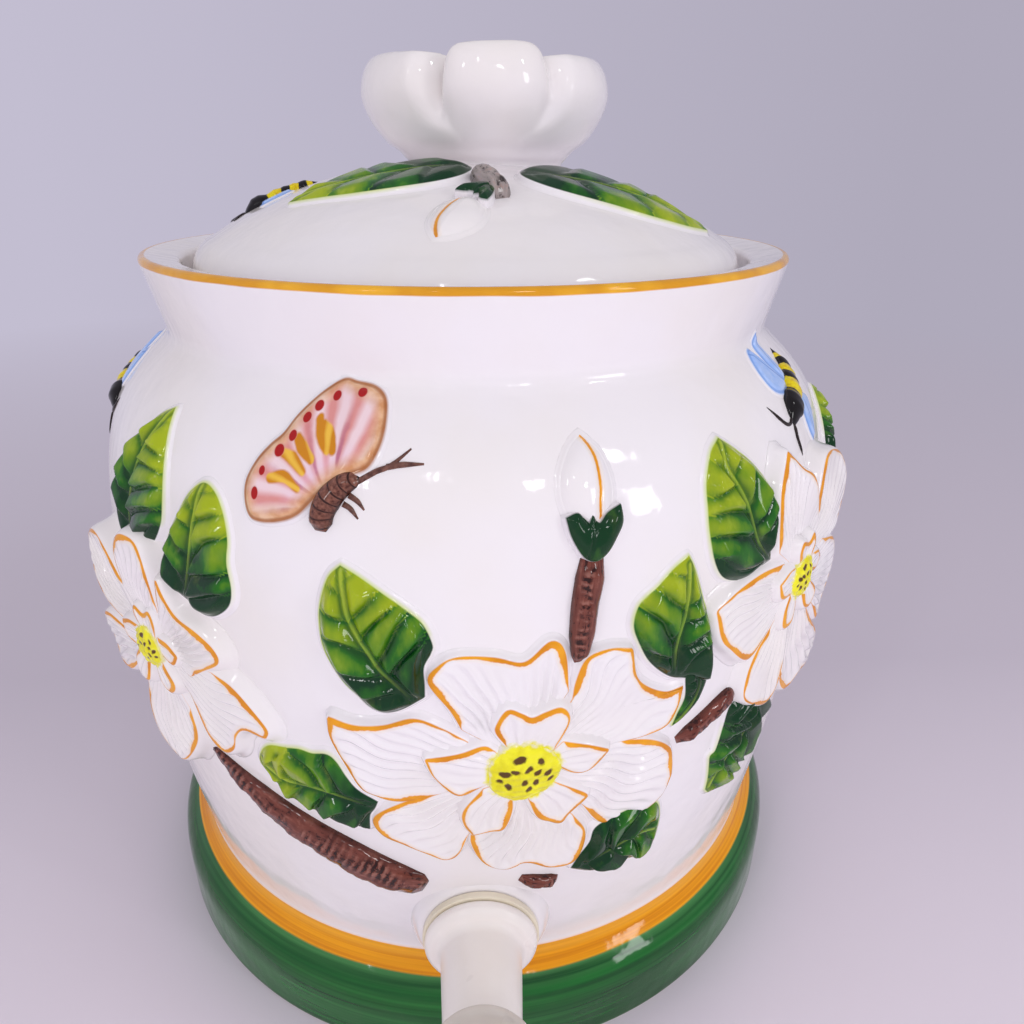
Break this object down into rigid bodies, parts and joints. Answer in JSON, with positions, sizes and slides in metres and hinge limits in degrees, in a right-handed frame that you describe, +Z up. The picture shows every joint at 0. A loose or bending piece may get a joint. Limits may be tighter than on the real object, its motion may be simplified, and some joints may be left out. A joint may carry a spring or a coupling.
{
  "type": "drink dispenser crock with tap",
  "caption": "Glazed ceramic drink crock with moulded flowers and leaves, a domed lid with a blossom knob, and a plastic lever tap.",
  "frame": {"origin": "centre of the crock's flat base, on the surface that it stands on", "axes": "+Z up along the crock's axis; the tap points along -Y, so a viewer in front of the tap has +X to the right"},
  "size_m": [0.3152, 0.4156, 0.3497],
  "materials": {
    "glazed_ceramic": "glossy white glaze over earthenware, hand painted in green, brown, orange, yellow and pink",
    "tap_plastic": "cream white moulded plastic, satin gloss",
    "bonnet_plastic": "slightly translucent grey beige moulded plastic",
    "silicone": "translucent beige silicone",
    "pin_steel": "stainless steel pin"
  },
  "bodies": {
    "pot": {"crock_body": "glazed_ceramic", "tap_body": "tap_plastic", "outer_gasket": "silicone", "inner_gasket": "silicone", "lock_nut": "tap_plastic", "bonnet_cap": "bonnet_plastic", "seat_cup": "silicone"},
    "lid": {"lid": "glazed_ceramic"},
    "stem": {"valve_stem": "tap_plastic", "pivot_pin": "pin_steel"},
    "lever": {"lever_handle": "tap_plastic"}
  },
  "joints": [
    {"name": "lid_lift", "type": "slide", "parent": "pot", "child": "lid", "axis": [0, 0, 1], "range_m": [0, 0.15]},
    {"name": "stem_lift", "type": "slide", "parent": "pot", "child": "stem", "axis": [0, 0, 1], "range_m": [0, 0.003], "stiffness_N_per_m": 1500, "springref_m": -0.0004, "deforming": ["seat_cup"]},
    {"name": "lever_turn", "type": "hinge", "parent": "stem", "child": "lever", "pos_m": [0, -0.20465, 0.0958], "axis": [1, 0, 0], "range_deg": [0, 28]}
  ],
  "couplings": [
    {"joint": "lever_turn", "follows": "stem_lift", "rad_per_m": 162.8}
  ]
}
